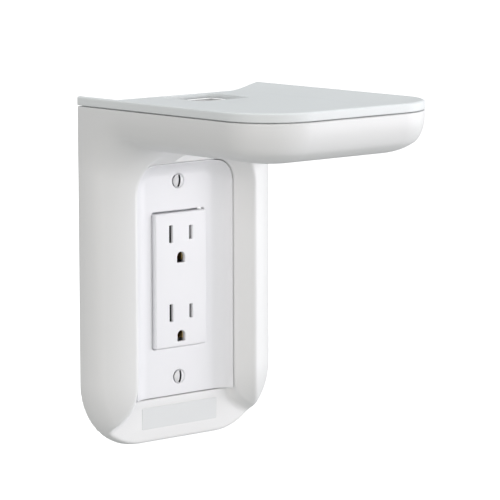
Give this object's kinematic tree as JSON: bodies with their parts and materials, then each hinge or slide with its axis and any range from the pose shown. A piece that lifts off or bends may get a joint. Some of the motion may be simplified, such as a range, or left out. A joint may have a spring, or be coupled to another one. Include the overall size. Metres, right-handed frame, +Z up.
{
  "type": "wall outlet shelf",
  "caption": "White moulded shelf that fits over a duplex wall receptacle, with a rimmed top, a cord pass-through and a coved cover plate.",
  "frame": {"origin": "centre of the receptacle on the wall plane", "axes": "+X right along the wall, +Y into the wall, +Z up"},
  "size_m": [0.1164, 0.159, 0.1728],
  "materials": {
    "shell": "satin moulded ABS, white",
    "deck": "satin moulded ABS, white",
    "cover": "satin moulded, white",
    "badge": "plain grey label panel",
    "face": "smooth nylon, white",
    "base": "moulded insulating plastic, dark grey",
    "shutter": "smooth acetal, grey",
    "paint": "white enamel",
    "steel": "zinc plated",
    "contact_steel": "nickel plated brass",
    "brass": "bright brass",
    "spring": "spring wire",
    "green_screw": "green passivated steel",
    "fibre": "vulcanised fibre"
  },
  "bodies": {
    "surround": {"housing": "shell", "shelf_deck": "deck", "outlet_cover": "cover", "badge_panel": "badge", "mounting_strap": "steel", "receptacle_face": "face", "shutter_retainer": "base", "receptacle_base": "base", "line_contact": "brass", "neutral_contact": "contact_steel", "ground_contact": "brass", "ground_screw": "green_screw", "cover_screw_upper": "paint", "cover_screw_lower": "paint", "box_screw_upper": "steel", "box_screw_lower": "steel", "screw_retainer_upper": "fibre", "screw_retainer_lower": "fibre", "shutter_spring_upper": "spring", "shutter_spring_lower": "spring", "line_screw_upper": "brass", "line_screw_lower": "brass", "neutral_screw_upper": "steel", "neutral_screw_lower": "steel", "receptacle_rivet_right": "steel", "receptacle_rivet_left": "steel"},
    "shutter_upper": {"shutter_upper": "shutter"},
    "shutter_lower": {"shutter_lower": "shutter"}
  },
  "joints": [
    {"name": "shutter_upper_slide", "type": "slide", "parent": "surround", "child": "shutter_upper", "axis": [1, 0, 0], "range_m": [0, 0.0032], "stiffness_N_per_m": 60, "springref_m": -0.001, "deforming": ["shutter_spring_upper"]},
    {"name": "shutter_lower_slide", "type": "slide", "parent": "surround", "child": "shutter_lower", "axis": [1, 0, 0], "range_m": [0, 0.0032], "stiffness_N_per_m": 60, "springref_m": -0.001, "deforming": ["shutter_spring_lower"]}
  ]
}
